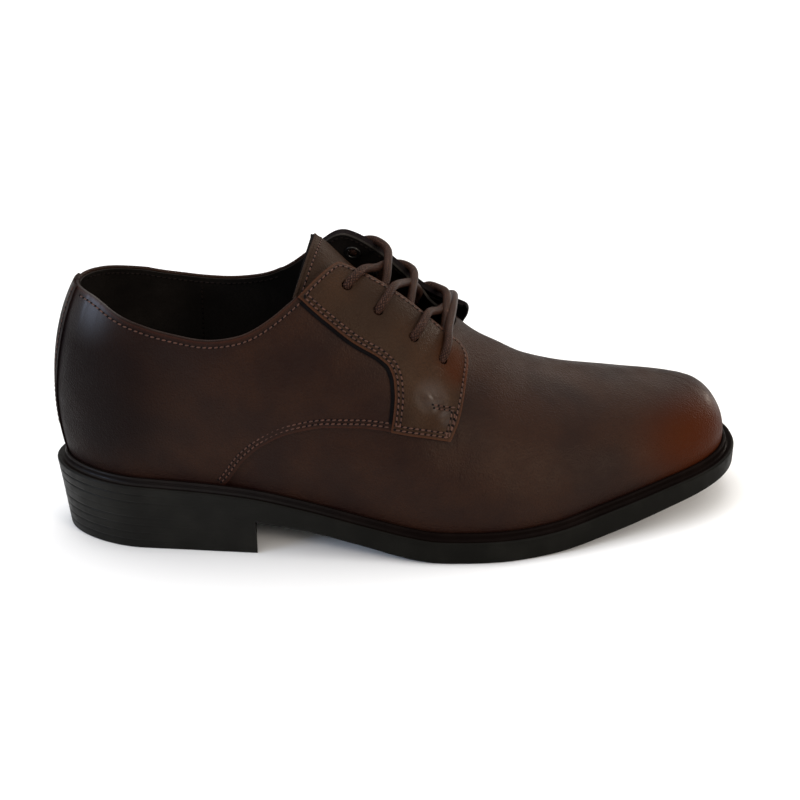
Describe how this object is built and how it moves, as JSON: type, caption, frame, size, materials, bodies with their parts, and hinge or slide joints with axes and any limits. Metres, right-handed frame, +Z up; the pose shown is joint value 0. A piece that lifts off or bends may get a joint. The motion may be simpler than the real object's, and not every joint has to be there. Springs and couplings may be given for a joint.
{
  "type": "derby dress shoe",
  "caption": "Plain-toe lace-up derby dress shoe for the right foot: hollow leather upper with open collar, eyelet facings, tongue and cord lace on a moulded rubber sole with a low heel.",
  "frame": {"origin": "centre of the heel's flat bottom, on the floor", "axes": "+X from heel to toe, +Z up, +Y towards the medial side of this right shoe"},
  "size_m": [0.284, 0.1026, 0.1205],
  "materials": {
    "rubber": "moulded black rubber, satin, with fine grooves round the heel",
    "welt_rubber": "moulded dark bead with a satin top",
    "sock_leather": "dark matt sock lining",
    "upper_leather": "smooth dark brown polished leather, warmer at the burnished toe",
    "facing_leather": "smooth dark brown polished leather with stitched edges",
    "tongue_leather": "soft dark brown leather",
    "lace_cord": "round waxed dark brown cord"
  },
  "bodies": {
    "root": {"outsole": "rubber", "welt": "welt_rubber", "insole": "sock_leather", "upper": "upper_leather", "facing_lateral": "facing_leather", "facing_medial": "facing_leather", "tongue": "tongue_leather", "lace_bar": "lace_cord", "lace_cross_low": "lace_cord", "lace_cross_middle": "lace_cord", "lace_cross_top": "lace_cord"}
  },
  "joints": []
}
